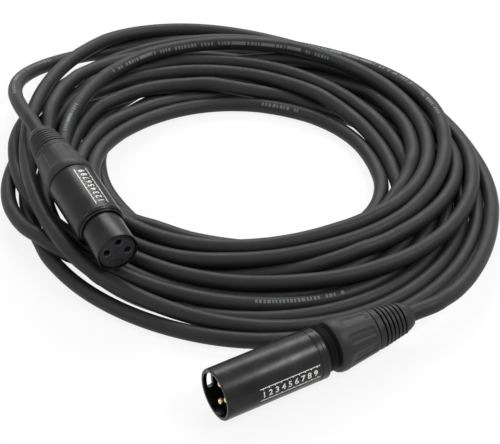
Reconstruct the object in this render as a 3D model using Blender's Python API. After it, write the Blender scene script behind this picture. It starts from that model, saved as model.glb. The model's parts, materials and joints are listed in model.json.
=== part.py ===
"""A coiled microphone cable with a three-pin female and a three-pin male connector.

Metres, +Z up, standing on Z = 0. The male connector's axis runs along X. Each connector is
modelled in its own frame: +X runs from its front face back towards the cable, on its axis.
"""

import math

import bmesh
import bpy
import numpy as np
from mathutils import Matrix, Vector

MM = 0.001
GAP = 0.3 * MM          # clearance between pieces that touch
PIECE_CLEAR = 0.3 * MM  # axial clearance between pieces stacked in a shell
RUNNING = 0.3 * MM      # radial clearance of a thread or of a sleeve on the cable

# Cable
CABLE_R = 3.0 * MM
FLOOR_CUT = 0.6 * MM        # the coil is flattened this deep where it lies on the floor
FLOOR_CLEAR = 0.1 * MM      # from the tails and the male boot down to the floor
COIL_R_OUT = 98.5 * MM      # centreline of the outermost turn
COIL_GAP = 0.6 * MM         # between turns side by side, and between layers
COIL_TURNS_WHOLE = 12
COIL_START_DEG = -50.0      # where the male tail joins, bottom layer
COIL_END_DEG = 85.0         # where the female tail joins, top layer
COIL_SETTLE_TURNS = 0.12    # the bottom layer comes in and down to the floor along this share of a turn
COIL_START_OUT = 2.0 * MM   # the start lies this far outside the spiral
COIL_CENTRE = (-1.64 * MM, 5.16 * MM)
POINTS_PER_TURN = 24
COIL_SIDES_LEVEL = 1        # bevel resolution of the coil, six sides
TAIL_SIDES_LEVEL = 2        # bevel resolution of the tails, eight sides

# Where the connectors' front faces lie, from the coil's centre
MALE_AXIS_OUT = 10.9 * MM   # from the outermost turn's centreline out to the male connector's axis
FEMALE_FACE_IN = 19.7 * MM  # from the outermost turn's centreline in to the female connector's face
MALE_FRONT = (-79.6 * MM, -COIL_R_OUT - MALE_AXIS_OUT)
FEMALE_FRONT = (FEMALE_FACE_IN - COIL_R_OUT, -37.5 * MM)
FEMALE_HEADING_DEG = 85.7   # from the front face to the cable
FEMALE_RISE_DEG = 2.0       # the cable end is the higher one
FEMALE_ROLL_DEG = 9.6       # turns the key away from straight down
MALE_ROLL_DEG = 90.0        # turns the key from straight down to the coil's side
BUTTON_CLEAR = 0.3 * MM     # from the latch button down to the coil

# Contacts, the same in both connectors
CONTACT_CIRCLE_R = 4.08 * MM
CONTACT_DEG = (-90.0, 90.0, 180.0)   # from the key, for contacts 1, 2 and 3
CUP_R = 1.35 * MM
CUP_BORE_R = 0.95 * MM
CUP_DEPTH = 2.6 * MM
CUP_LENGTH = 4.0 * MM
WIRE_R = 0.55 * MM
WIRE_BUNDLE_R = 1.45 * MM

# Male connector
MALE_SHELL_R = 9.5 * MM
MALE_FRONT_WALL = 1.3 * MM
MALE_BORE_R = MALE_SHELL_R - MALE_FRONT_WALL
MALE_CAVITY_DEPTH = 15.2 * MM
LIP_LENGTH = 1.0 * MM
LIP_HEIGHT = 0.5 * MM
LIP_R = MALE_BORE_R - LIP_HEIGHT
SHELL_REAR_WALL = 0.9 * MM
SHELL_REAR_BORE_R = MALE_SHELL_R - SHELL_REAR_WALL   # the same in both shells, for the boot's thread
SHELL_ROUND = 0.5 * MM
MALE_INSERT_LENGTH = 9.6 * MM
MALE_WIRE_LENGTH = 5.9 * MM   # from the solder cups to the end of the jacket
MALE_WIRE_SPACE = 2.3 * MM    # from the solder cups to the chuck, with the boot closed
PIN_COLLAR_AT = 5.8 * MM    # the pins' step, from the insert's front
PIN_R = 1.2 * MM
PIN_TIP_DEPTH = 3.4 * MM
PIN_TIP_ROUND = 0.8 * MM
WINDOW_START = 1.5 * MM
WINDOW_LENGTH = 2.3 * MM
WINDOW_WIDTH = 7.0 * MM
SHELL_GROOVE_FROM_REAR = 3.2 * MM
SHELL_GROOVE_WIDTH = 0.5 * MM
SHELL_GROOVE_DEPTH = 0.2 * MM
MALE_BOOT_OPEN = 4.2 * MM   # how far the boot is unscrewed

# Female connector
NOSE_R = 8.0 * MM
NOSE_WALL = 0.6 * MM
NOSE_BORE_R = NOSE_R - NOSE_WALL
NOSE_LENGTH = 14.3 * MM
FEMALE_REAR_WALL = 1.0 * MM
FEMALE_SHELL_R = SHELL_REAR_BORE_R + FEMALE_REAR_WALL
SHOULDER_WALL = 1.4 * MM
SHOULDER_ROUND = 1.2 * MM
FEMALE_BOOT_OPEN = 0.0
INSERT_RECESS = 0.3 * MM
FEMALE_INSERT_BODY = 11.4 * MM
FEMALE_WIRE_LENGTH = 5.2 * MM
FEMALE_WIRE_SPACE = 1.9 * MM
SOCKET_HOLE_R = 1.3 * MM
SOCKET_FACE_WALL = 1.4 * MM
SOCKET_R = 1.6 * MM
SOCKET_BORE_R = 1.2 * MM
SOCKET_BORE_DEPTH = 13.0 * MM

# Latch, on the key's side of the female connector
LATCH_START = 10.4 * MM
LATCH_END = 23.6 * MM
LATCH_WIDTH = 4.4 * MM
LATCH_DEPTH = 1.6 * MM      # from the nose's surface down to the lever's underside
LATCH_INNER_R = NOSE_R - LATCH_DEPTH
LATCH_TRAVEL = 1.1 * MM
HOOK_LENGTH = 1.9 * MM
HOOK_HEIGHT = 0.8 * MM
HOOK_SLOPE = 0.6 * MM
BUTTON_START = 16.6 * MM
BUTTON_SLOPE = 0.4 * MM
BUTTON_HEIGHT = 0.8 * MM
SPRING_AT = 20.0 * MM
SPRING_R = 1.2 * MM
SPRING_WIRE_R = 0.2 * MM
SPRING_TURNS = 4
SPRING_WELL_DEPTH = 3.0 * MM
SPRING_CUP_DEPTH = 1.6 * MM
POINTS_PER_CURL = 8

# Chuck, boot and gland, the same in both connectors; distances run from the boot's front edge
CHUCK_START = -10.0 * MM
CHUCK_END = 9.0 * MM
CHUCK_R = 6.2 * MM
CHUCK_NOSE_R = 4.7 * MM
CHUCK_TAPER = 3.0 * MM
CHUCK_MOUTH_R = 4.9 * MM
CHUCK_MOUTH_DEPTH = 4.0 * MM
CHUCK_SLOT_WIDTH = 0.8 * MM
CHUCK_SLOT_LENGTH = 11.0 * MM
NECK_LENGTH = 9.0 * MM
THREAD_PITCH = 1.5 * MM
THREAD_DEPTH = 0.45 * MM
THREAD_RINGS = 5
BOOT_LENGTH = 17.5 * MM
BOOT_STEP = 0.2 * MM        # the boot's front edge is this much smaller than the male shell
BOOT_FRONT_R = MALE_SHELL_R - BOOT_STEP
BOOT_BULGE = 0.5 * MM
BOOT_MAX_R = BOOT_FRONT_R + BOOT_BULGE
BOOT_BULGE_AT = 3.5 * MM
BOOT_TAPER = 1.8 * MM
BOOT_REAR_R = BOOT_MAX_R - BOOT_TAPER
PANEL_COUNT = 8
PANEL_START = 4.6 * MM
PANEL_LENGTH = 9.6 * MM
PANEL_WIDTH = 4.6 * MM
PANEL_DEPTH = 0.7 * MM
SPIGOT_LENGTH = 3.6 * MM
SPIGOT_R = 6.0 * MM
GLAND_LENGTH = 17.2 * MM
GLAND_RING_LENGTH = 2.4 * MM
GLAND_STEP = 0.3 * MM       # the gland's ring is this much smaller than the boot's rear
GLAND_RING_R = BOOT_REAR_R - GLAND_STEP
RIB_COUNT = 6
RIB_PITCH = 1.8 * MM
RIB_WIDTH = 1.0 * MM
RIB_FIRST_R = 7.5 * MM
RIB_LAST_R = 6.0 * MM
RIB_DEPTH = 1.3 * MM
COLLAR_START_R = 5.5 * MM
COLLAR_END_R = 4.5 * MM
COLLAR_ROUND = 0.7 * MM

TAIL_STRAIGHT = 13.0 * MM   # the cable's straight run behind each boot, longer than the boot's travel

SEGMENTS = 32
GLAND_SEGMENTS = 20
SMALL_SEGMENTS = 16

# Routes of the free stretches from the coil's centre, in millimetres: (x, y, height of the centreline)
MALE_TAIL_ROUTE = (
    (25.4, -101.6, 5.8), (42.0, -93.4, 3.5), (55.0, -84.6, 3.1),
)
FEMALE_TAIL_ROUTE = (
    (-70.4, 74.5, 20.5), (-58.5, 96.5, 10.5), (-42.0, 105.0, 4.6), (-20.0, 105.0, 4.0),
)
STEPS_PER_STRETCH = 2


def clear_scene():
    for old in list(bpy.data.objects):
        bpy.data.objects.remove(old, do_unlink=True)


def make_material(name, color, roughness, metallic):
    material = bpy.data.materials.new(name)
    material.use_nodes = True
    shader = material.node_tree.nodes["Principled BSDF"]
    shader.inputs["Base Color"].default_value = (*color, 1.0)
    shader.inputs["Roughness"].default_value = roughness
    shader.inputs["Metallic"].default_value = metallic
    material.diffuse_color = (*color, 1.0)
    return material


def make_materials():
    return {
        "shell": make_material("shell_black_metal", (0.035, 0.036, 0.037), 0.38, 0.6),
        "plastic": make_material("boot_plastic", (0.03, 0.03, 0.032), 0.5, 0.0),
        "gland": make_material("gland_rubber", (0.022, 0.022, 0.023), 0.55, 0.0),
        "insert": make_material("insert_plastic", (0.028, 0.028, 0.034), 0.45, 0.0),
        "gilt": make_material("contact_gilt", (0.83, 0.66, 0.34), 0.22, 1.0),
        "steel": make_material("latch_steel", (0.55, 0.55, 0.56), 0.3, 1.0),
        "chuck": make_material("chuck_plastic", (0.05, 0.05, 0.055), 0.5, 0.0),
        "jacket": make_material("cable_jacket", (0.02, 0.02, 0.021), 0.6, 0.0),
        "copper": make_material("conductor_copper", (0.72, 0.38, 0.22), 0.35, 1.0),
        "wire_red": make_material("conductor_red", (0.5, 0.04, 0.03), 0.45, 0.0),
        "wire_white": make_material("conductor_white", (0.75, 0.75, 0.72), 0.45, 0.0),
    }


def add_object(name, mesh, material, parent):
    made = bpy.data.objects.new(name, mesh)
    bpy.context.scene.collection.objects.link(made)
    made.parent = parent
    mesh.materials.clear()
    mesh.materials.append(material)
    return made


def shade(mesh, angle_deg=35.0):
    mesh.shade_smooth()
    mesh.set_sharp_from_angle(angle=math.radians(angle_deg))


def turned_mesh(name, profile, segments=SEGMENTS):
    """The profile, a loop of (x, radius), turned about the X axis."""
    work = bmesh.new()
    points = [work.verts.new((x, 0.0, r)) for x, r in profile]
    edges = [work.edges.new((a, b)) for a, b in zip(points, points[1:] + points[:1])]
    bmesh.ops.spin(
        work, geom=points + edges, cent=(0, 0, 0), axis=(1, 0, 0), dvec=(0, 0, 0),
        angle=math.tau, steps=segments, use_merge=True,
    )
    bmesh.ops.remove_doubles(work, verts=work.verts, dist=1e-6)
    bmesh.ops.dissolve_degenerate(work, edges=work.edges, dist=1e-7)
    loose = [edge for edge in work.edges if not edge.link_faces]
    bmesh.ops.delete(work, geom=loose, context="EDGES")
    bmesh.ops.recalc_face_normals(work, faces=work.faces)
    mesh = bpy.data.meshes.new(name)
    work.to_mesh(mesh)
    work.free()
    return mesh


def turned(name, profile, material, parent, segments=SEGMENTS):
    mesh = turned_mesh(name, profile, segments)
    shade(mesh)
    return add_object(name, mesh, material, parent)


def box_mesh(name, low, high):
    work = bmesh.new()
    bmesh.ops.create_cube(work, size=1.0)
    size = [b - a for a, b in zip(low, high)]
    middle = [(a + b) / 2 for a, b in zip(low, high)]
    lay = Matrix.Translation(middle) @ Matrix.Diagonal((*size, 1.0))
    bmesh.ops.transform(work, matrix=lay, verts=work.verts)
    mesh = bpy.data.meshes.new(name)
    work.to_mesh(mesh)
    work.free()
    return mesh


def helper(name, mesh, parent, turn_deg=0.0):
    """A cutter, turned about the connector's axis; it isn't part of the object."""
    made = bpy.data.objects.new(name, mesh)
    bpy.context.scene.collection.objects.link(made)
    made.parent = parent
    made.rotation_euler = (math.radians(turn_deg), 0.0, 0.0)
    made.hide_render = True
    made.display_type = "WIRE"
    return made


def cut(piece, cutter, operation="DIFFERENCE"):
    modifier = piece.modifiers.new(cutter.name, "BOOLEAN")
    modifier.object = cutter
    modifier.operation = operation
    modifier.solver = "EXACT"


def key_point(x, radius, turn_deg, sideways=0.0):
    """A point at a distance from the axis, in the key's direction (-Z) turned by an angle."""
    turn = math.radians(turn_deg)
    y = -radius * math.sin(turn) + sideways * math.cos(turn)
    z = -radius * math.cos(turn) - sideways * math.sin(turn)
    return Vector((x, y, z))


# The two shells


def male_cups_end():
    return MALE_CAVITY_DEPTH + PIECE_CLEAR + MALE_INSERT_LENGTH + CUP_LENGTH


def female_cups_end():
    return NOSE_LENGTH + SHOULDER_WALL + PIECE_CLEAR + FEMALE_INSERT_BODY + CUP_LENGTH


def male_shell_length():
    """The contacts, the space for their wires, and the part of the chuck that the shell covers."""
    return male_cups_end() + MALE_WIRE_SPACE - CHUCK_START - PIECE_CLEAR


def female_shell_length():
    return female_cups_end() + FEMALE_WIRE_SPACE - CHUCK_START - PIECE_CLEAR


def male_shell(materials, parent):
    rear = male_shell_length()
    groove = rear - SHELL_GROOVE_FROM_REAR
    lip_end = MALE_CAVITY_DEPTH + LIP_LENGTH
    profile = [
        (0.15 * MM, MALE_BORE_R), (0.0, MALE_BORE_R + 0.15 * MM), (0.0, MALE_SHELL_R - SHELL_ROUND),
        (0.3 * SHELL_ROUND, MALE_SHELL_R - 0.3 * SHELL_ROUND), (SHELL_ROUND, MALE_SHELL_R),
        (groove, MALE_SHELL_R), (groove, MALE_SHELL_R - SHELL_GROOVE_DEPTH),
        (groove + SHELL_GROOVE_WIDTH, MALE_SHELL_R - SHELL_GROOVE_DEPTH),
        (groove + SHELL_GROOVE_WIDTH, MALE_SHELL_R),
        (rear - 0.5 * SHELL_ROUND, MALE_SHELL_R), (rear, MALE_SHELL_R - 0.5 * SHELL_ROUND),
        (rear, SHELL_REAR_BORE_R), (lip_end, SHELL_REAR_BORE_R), (lip_end, LIP_R),
        (MALE_CAVITY_DEPTH, LIP_R), (MALE_CAVITY_DEPTH, MALE_BORE_R),
    ]
    shell = turned("male_shell", profile, materials["shell"], parent)
    window = box_mesh(
        "male_window_cut",
        (WINDOW_START, -WINDOW_WIDTH / 2, -MALE_SHELL_R - 2 * MM),
        (WINDOW_START + WINDOW_LENGTH, WINDOW_WIDTH / 2, -MALE_BORE_R / 2),
    )
    cut(shell, helper("male_window_cut", window, parent))
    return shell


def female_shell(materials, parent):
    rear = female_shell_length()
    step = NOSE_LENGTH + SHOULDER_WALL
    profile = [
        (0.0, NOSE_BORE_R), (0.0, NOSE_R - 0.3 * MM), (0.3 * MM, NOSE_R), (NOSE_LENGTH, NOSE_R),
        (NOSE_LENGTH, NOSE_R + 0.5 * MM), (NOSE_LENGTH + 0.3 * SHOULDER_ROUND, FEMALE_SHELL_R - 0.5 * MM),
        (NOSE_LENGTH + SHOULDER_ROUND, FEMALE_SHELL_R), (rear - 0.5 * SHELL_ROUND, FEMALE_SHELL_R),
        (rear, FEMALE_SHELL_R - 0.5 * SHELL_ROUND), (rear, SHELL_REAR_BORE_R),
        (step, SHELL_REAR_BORE_R), (step, NOSE_BORE_R),
    ]
    shell = turned("female_shell", profile, materials["shell"], parent)
    half = LATCH_WIDTH / 2 + GAP
    slot = box_mesh(
        "female_latch_slot_cut",
        (LATCH_START - GAP, -half, -FEMALE_SHELL_R - 3 * MM),
        (LATCH_END + GAP, half, -NOSE_BORE_R / 2),
    )
    cut(shell, helper("female_latch_slot_cut", slot, parent))
    return shell


# Contact carriers and contacts


def contact_bores(piece, prefix, parent, start, steps):
    """Drills each contact's hole; steps lists (x, radius) from the front."""
    profile = [(start, 0.0)]
    for (x_from, radius), (x_to, _) in zip(steps, steps[1:]):
        profile += [(x_from, radius), (x_to, radius)]
    profile.append((steps[-1][0], 0.0))
    for number, turn in enumerate(CONTACT_DEG, 1):
        mesh = turned_mesh(f"{prefix}_bore_{number}_cut", profile, SMALL_SEGMENTS)
        drill = helper(f"{prefix}_bore_{number}_cut", mesh, parent)
        drill.location = key_point(0.0, CONTACT_CIRCLE_R, turn)
        cut(piece, drill)


def male_insert(materials, parent):
    front = MALE_CAVITY_DEPTH + PIECE_CLEAR
    seat = MALE_CAVITY_DEPTH + LIP_LENGTH + PIECE_CLEAR
    rear = front + MALE_INSERT_LENGTH
    nose_r = LIP_R - GAP
    body_r = SHELL_REAR_BORE_R - GAP
    profile = [(front, 0.0), (front, nose_r), (seat, nose_r), (seat, body_r), (rear, body_r), (rear, 0.0)]
    insert = turned("male_insert", profile, materials["insert"], parent)
    bore = PIN_R + GAP
    step = front + PIN_COLLAR_AT
    steps = [(front - 1 * MM, bore), (step, CUP_R + GAP), (rear + 1 * MM, bore)]
    contact_bores(insert, "male", parent, front - 1 * MM, steps)
    return insert


def female_insert(materials, parent):
    front = INSERT_RECESS
    seat = NOSE_LENGTH + SHOULDER_WALL + PIECE_CLEAR
    rear = seat + FEMALE_INSERT_BODY
    nose_r = NOSE_BORE_R - GAP
    body_r = SHELL_REAR_BORE_R - GAP
    profile = [(front, 0.0), (front, nose_r), (seat, nose_r), (seat, body_r), (rear, body_r), (rear, 0.0)]
    insert = turned("female_insert", profile, materials["insert"], parent)
    step = front + SOCKET_FACE_WALL
    steps = [(front - 1 * MM, SOCKET_HOLE_R), (step, SOCKET_R + GAP), (rear + 1 * MM, SOCKET_HOLE_R)]
    contact_bores(insert, "female", parent, front - 1 * MM, steps)
    floor = LATCH_INNER_R - LATCH_TRAVEL - GAP
    half = LATCH_WIDTH / 2 + 2 * GAP
    pocket = box_mesh(
        "female_latch_pocket_cut",
        (LATCH_START - 2 * GAP, -half, -SHELL_REAR_BORE_R - 3 * MM),
        (LATCH_END + 2 * GAP, half, -floor),
    )
    cut(insert, helper("female_latch_pocket_cut", pocket, parent))
    cut(insert, spring_cutter("female_spring_well_cut", floor - SPRING_WELL_DEPTH, floor + 1 * MM, parent))
    return insert


def spring_cutter(name, r_from, r_to, parent):
    """A round cutter for the latch spring, along the key's direction."""
    radius = SPRING_R + SPRING_WIRE_R + GAP
    mesh = turned_mesh(name, [(r_from, 0.0), (r_from, radius), (r_to, radius), (r_to, 0.0)], SMALL_SEGMENTS)
    mesh.transform(Matrix.Rotation(math.radians(90.0), 4, "Y"))
    made = helper(name, mesh, parent)
    made.location = (SPRING_AT, 0.0, 0.0)
    return made


def male_pins(materials, parent):
    cup_end = male_cups_end()
    collar = MALE_CAVITY_DEPTH + PIECE_CLEAR + PIN_COLLAR_AT + GAP
    tip = PIN_TIP_DEPTH
    profile = [
        (tip, 0.0), (tip, 0.35 * PIN_R), (tip + 0.3 * PIN_TIP_ROUND, 0.75 * PIN_R),
        (tip + PIN_TIP_ROUND, PIN_R),
        (collar, PIN_R), (collar, CUP_R), (cup_end, CUP_R), (cup_end, CUP_BORE_R),
        (cup_end - CUP_DEPTH, CUP_BORE_R), (cup_end - CUP_DEPTH, 0.0),
    ]
    for number, turn in enumerate(CONTACT_DEG, 1):
        pin = turned(f"male_pin_{number}", profile, materials["gilt"], parent, SMALL_SEGMENTS)
        pin.location = key_point(0.0, CONTACT_CIRCLE_R, turn)


def female_contacts(materials, parent):
    cup_end = female_cups_end()
    rear = cup_end - CUP_LENGTH
    front = INSERT_RECESS + SOCKET_FACE_WALL + PIECE_CLEAR
    bore_end = front + SOCKET_BORE_DEPTH
    profile = [
        (front, SOCKET_BORE_R), (front, SOCKET_R), (rear, SOCKET_R),
        (rear, CUP_R), (cup_end, CUP_R),
        (cup_end, CUP_BORE_R), (cup_end - CUP_DEPTH, CUP_BORE_R), (cup_end - CUP_DEPTH, 0.0),
        (bore_end, 0.0), (bore_end, SOCKET_BORE_R),
    ]
    for number, turn in enumerate(CONTACT_DEG, 1):
        contact = turned(f"female_contact_{number}", profile, materials["gilt"], parent, SMALL_SEGMENTS)
        contact.location = key_point(0.0, CONTACT_CIRCLE_R, turn)


def conductors(prefix, cup_end, jacket_end, materials, parent):
    """One wire from each solder cup to the stripped end of the jacket."""
    start = cup_end - CUP_DEPTH + PIECE_CLEAR
    end = jacket_end - PIECE_CLEAR
    steps = 6
    looks = (materials["copper"], materials["wire_red"], materials["wire_white"])
    for number, (turn, look) in enumerate(zip(CONTACT_DEG, looks), 1):
        points = [key_point(start, CONTACT_CIRCLE_R, turn)]
        for step in range(steps + 1):
            share = step / steps
            x = cup_end + (end - cup_end) * share
            radius = CONTACT_CIRCLE_R + (WIRE_BUNDLE_R - CONTACT_CIRCLE_R) * eased(share)
            points.append(key_point(x, radius, turn))
        tube(f"{prefix}_conductor_{number}", points, WIRE_R, TAIL_SIDES_LEVEL, look, parent)


# Latch


def latch(materials, parent):
    """The push button and its hook, one lever that slides towards the axis."""
    outer_nose = NOSE_R
    outer_hook = outer_nose + HOOK_HEIGHT
    outer_body = FEMALE_SHELL_R + BUTTON_HEIGHT
    outline = [
        (LATCH_START, LATCH_INNER_R), (LATCH_START, outer_nose), (LATCH_START + HOOK_SLOPE, outer_hook),
        (LATCH_START + HOOK_LENGTH, outer_hook), (LATCH_START + HOOK_LENGTH, outer_nose),
        (BUTTON_START - BUTTON_SLOPE, outer_nose), (BUTTON_START, outer_body), (LATCH_END, outer_body),
        (LATCH_END, LATCH_INNER_R),
    ]
    work = bmesh.new()
    corners = [work.verts.new((x, -LATCH_WIDTH / 2, -r)) for x, r in outline]
    side = work.faces.new(corners)
    pushed = bmesh.ops.extrude_face_region(work, geom=[side])
    moved = [item for item in pushed["geom"] if isinstance(item, bmesh.types.BMVert)]
    bmesh.ops.translate(work, vec=(0, LATCH_WIDTH, 0), verts=moved)
    bmesh.ops.recalc_face_normals(work, faces=work.faces)
    mesh = bpy.data.meshes.new("female_latch")
    work.to_mesh(mesh)
    work.free()
    made = add_object("female_latch", mesh, materials["steel"], parent)
    top = LATCH_INNER_R + SPRING_CUP_DEPTH
    cut(made, spring_cutter("female_latch_cup_cut", LATCH_INNER_R - 1 * MM, top, parent))
    return made


def latch_spring(materials, parent):
    floor = LATCH_INNER_R - LATCH_TRAVEL - GAP
    low = floor - SPRING_WELL_DEPTH + SPRING_WIRE_R + GAP
    high = LATCH_INNER_R + SPRING_CUP_DEPTH - SPRING_WIRE_R - GAP
    count = SPRING_TURNS * POINTS_PER_CURL
    points = []
    for step in range(count + 1):
        turn = math.tau * step / POINTS_PER_CURL
        along = low + (high - low) * step / count
        points.append(Vector((SPRING_AT + SPRING_R * math.cos(turn), SPRING_R * math.sin(turn), -along)))
    tube("female_latch_spring", points, SPRING_WIRE_R, 1, materials["steel"], parent)


# Chuck, boot and gland


def chuck(prefix, boot_at, materials, parent):
    start = boot_at + CHUCK_START
    end = boot_at + CHUCK_END
    bore = CABLE_R + RUNNING
    profile = [
        (start, CHUCK_MOUTH_R), (start, CHUCK_R), (end - CHUCK_TAPER, CHUCK_R), (end, CHUCK_NOSE_R),
        (end, bore), (start + CHUCK_MOUTH_DEPTH, bore),
    ]
    made = turned(f"{prefix}_chuck", profile, materials["chuck"], parent, GLAND_SEGMENTS)
    slot_start = end - CHUCK_SLOT_LENGTH
    for number, turn in enumerate((0.0, 90.0), 1):
        slot = box_mesh(
            f"{prefix}_chuck_slot_{number}_cut",
            (slot_start, -CHUCK_SLOT_WIDTH / 2, -CHUCK_R - 1 * MM),
            (end + 1 * MM, CHUCK_SLOT_WIDTH / 2, CHUCK_R + 1 * MM),
        )
        cut(made, helper(f"{prefix}_chuck_slot_{number}_cut", slot, parent, turn + 7.0))
    return made


def boot(prefix, boot_at, materials, parent):
    neck_r = SHELL_REAR_BORE_R - RUNNING
    root_r = neck_r - THREAD_DEPTH
    inner_r = CHUCK_R + RUNNING
    cone_r = CHUCK_NOSE_R + RUNNING
    pocket = BOOT_LENGTH - SPIGOT_LENGTH - GAP
    profile = [(-NECK_LENGTH, inner_r)]
    for ring in range(THREAD_RINGS):
        x = -NECK_LENGTH + (ring + 0.25) * THREAD_PITCH
        profile += [(x - 0.25 * THREAD_PITCH, root_r), (x + 0.25 * THREAD_PITCH, neck_r)]
    thread_end = -NECK_LENGTH + THREAD_RINGS * THREAD_PITCH
    profile += [
        (thread_end, root_r), (0.0, root_r), (0.0, BOOT_FRONT_R), (0.5 * MM, BOOT_FRONT_R + 0.3 * MM),
        (BOOT_BULGE_AT, BOOT_MAX_R), (BOOT_LENGTH, BOOT_REAR_R), (BOOT_LENGTH, SPIGOT_R + GAP),
        (pocket, SPIGOT_R + GAP), (pocket, cone_r), (CHUCK_END + GAP, cone_r),
        (CHUCK_END - CHUCK_TAPER + GAP, inner_r),
    ]
    made = turned(f"{prefix}_boot", [(boot_at + x, r) for x, r in profile], materials["plastic"], parent)
    middle = PANEL_START + PANEL_LENGTH / 2
    slope = (BOOT_MAX_R - BOOT_REAR_R) / (BOOT_LENGTH - BOOT_BULGE_AT)
    surface = BOOT_MAX_R - slope * (middle - BOOT_BULGE_AT)
    half_length = PANEL_LENGTH / 2
    half_width = PANEL_WIDTH / 2
    lay = Matrix.Translation((boot_at + middle, 0.0, surface)) @ Matrix.Rotation(math.atan(slope), 4, "Y")
    for number in range(PANEL_COUNT):
        name = f"{prefix}_boot_panel_{number}_cut"
        mesh = box_mesh(name, (-half_length, -half_width, -PANEL_DEPTH), (half_length, half_width, 2 * MM))
        mesh.transform(lay)
        cut(made, helper(name, mesh, parent, 360.0 * number / PANEL_COUNT))
    return made


def gland(prefix, boot_at, materials, parent):
    front = BOOT_LENGTH + GAP
    bore = CABLE_R + RUNNING
    rear = BOOT_LENGTH + GLAND_LENGTH
    ribs_start = front + GLAND_RING_LENGTH
    profile = [
        (BOOT_LENGTH - SPIGOT_LENGTH, bore), (BOOT_LENGTH - SPIGOT_LENGTH, SPIGOT_R), (front, SPIGOT_R),
        (front, GLAND_RING_R), (ribs_start, GLAND_RING_R),
    ]
    groove = RIB_PITCH - RIB_WIDTH
    for rib in range(RIB_COUNT):
        crest = RIB_FIRST_R + (RIB_LAST_R - RIB_FIRST_R) * rib / (RIB_COUNT - 1)
        x = ribs_start + rib * RIB_PITCH
        root = crest - RIB_DEPTH
        profile += [(x, root), (x + groove, root), (x + groove, crest), (x + RIB_PITCH, crest)]
    collar = ribs_start + RIB_COUNT * RIB_PITCH
    profile += [
        (collar, COLLAR_START_R), (rear - COLLAR_ROUND, COLLAR_END_R),
        (rear, COLLAR_END_R - COLLAR_ROUND / 2), (rear, bore),
    ]
    made = [(boot_at + x, r) for x, r in profile]
    return turned(f"{prefix}_gland", made, materials["gland"], parent, GLAND_SEGMENTS)


# Cable


def tube(name, points, radius, level, material, parent=None):
    curve = bpy.data.curves.new(name, "CURVE")
    curve.dimensions = "3D"
    curve.twist_mode = "Z_UP" if parent is None else "MINIMUM"
    curve.bevel_depth = radius
    curve.bevel_resolution = level
    curve.use_fill_caps = True
    spline = curve.splines.new("POLY")
    spline.points.add(len(points) - 1)
    for target, point in zip(spline.points, points):
        target.co = (*point, 1.0)
    spline.use_smooth = True
    curve.materials.append(material)
    made = bpy.data.objects.new(name, curve)
    bpy.context.scene.collection.objects.link(made)
    made.parent = parent
    return made


def smooth_curve(route, steps):
    """Points of a Catmull-Rom curve through the route's points, with steps to each stretch."""
    ends = [2 * route[0] - route[1], *route, 2 * route[-1] - route[-2]]
    points = []
    for a, b, c, d in zip(ends, ends[1:], ends[2:], ends[3:]):
        for step in range(steps):
            t = step / steps
            bend = (2 * a - 5 * b + 4 * c - d) * t**2 + (3 * b - a - 3 * c + d) * t**3
            points.append(b + 0.5 * ((c - a) * t + bend))
    return points + [route[-1]]


def eased(share):
    share = min(max(share, 0.0), 1.0)
    return share * share * (3 - 2 * share)


def flat_half():
    """From the coil's centreline to the flat of its section, whose flats face up and down."""
    return CABLE_R * math.cos(math.pi / (4 + 2 * COIL_SIDES_LEVEL))


def coil_low_z():
    return flat_half() - FLOOR_CUT


def coil_high_z():
    return coil_low_z() + 2 * CABLE_R + COIL_GAP


def coil_points():
    """In along the bottom layer, up in the half turn where the spiral reverses, and out along the top."""
    turns = COIL_TURNS_WHOLE + (COIL_END_DEG - COIL_START_DEG) / 360.0
    middle = turns / 2
    step_in = 2 * CABLE_R + COIL_GAP
    count = round(turns * POINTS_PER_TURN)
    start_z = CABLE_R + FLOOR_CLEAR
    points = []
    for step in range(count + 1):
        turn = turns * step / count
        settled = eased(turn / COIL_SETTLE_TURNS)
        radius = COIL_R_OUT - step_in * (middle - abs(turn - middle)) + COIL_START_OUT * (1 - settled)
        z = start_z + (coil_low_z() - start_z) * settled
        z += (coil_high_z() - coil_low_z()) * eased((turn - middle + 0.25) / 0.5)
        angle = math.radians(COIL_START_DEG) + math.tau * turn
        points.append(Vector((
            COIL_CENTRE[0] + radius * math.cos(angle), COIL_CENTRE[1] + radius * math.sin(angle), z,
        )))
    return points


def least_gap(points, radius):
    """The least gap between one stretch of the tube and another at least half a turn on."""
    steps = 12
    apart = steps * POINTS_PER_TURN // 2
    coarse = np.array(points)
    share = np.arange(steps)[:, None, None] / steps
    fine = (coarse[:-1] + share * (coarse[1:] - coarse[:-1])).transpose(1, 0, 2).reshape(-1, 3)
    least = math.inf
    for place in range(len(fine) - apart):
        least = min(least, np.linalg.norm(fine[place + apart:] - fine[place], axis=1).min())
    return least - 2 * radius


def cable_coil(materials):
    points = coil_points()
    print(f"cable_coil: least gap to itself {least_gap(points, CABLE_R) / MM:.2f} mm")
    print(f"cable_coil: length {path_length(points):.3f} m")
    guide = tube("cable_coil_guide", points, CABLE_R, COIL_SIDES_LEVEL, materials["jacket"])
    bpy.context.view_layer.update()
    mesh = bpy.data.meshes.new_from_object(guide.evaluated_get(bpy.context.evaluated_depsgraph_get()))
    bpy.data.objects.remove(guide, do_unlink=True)
    work = bmesh.new()
    work.from_mesh(mesh)
    bmesh.ops.remove_doubles(work, verts=work.verts, dist=1e-6)
    bmesh.ops.recalc_face_normals(work, faces=work.faces)
    work.to_mesh(mesh)
    work.free()
    shade(mesh, 80.0)
    mesh.name = "cable_coil"
    coil = add_object("cable_coil", mesh, materials["jacket"], None)
    reach = COIL_R_OUT + COIL_START_OUT + 2 * CABLE_R
    x, y = COIL_CENTRE
    below = box_mesh("cable_coil_floor_cut", (x - reach, y - reach, -2 * CABLE_R), (x + reach, y + reach, 0.0))
    cut(coil, helper("cable_coil_floor_cut", below, None))
    return points


def path_length(points):
    return sum((b - a).length for a, b in zip(points, points[1:]))


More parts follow.
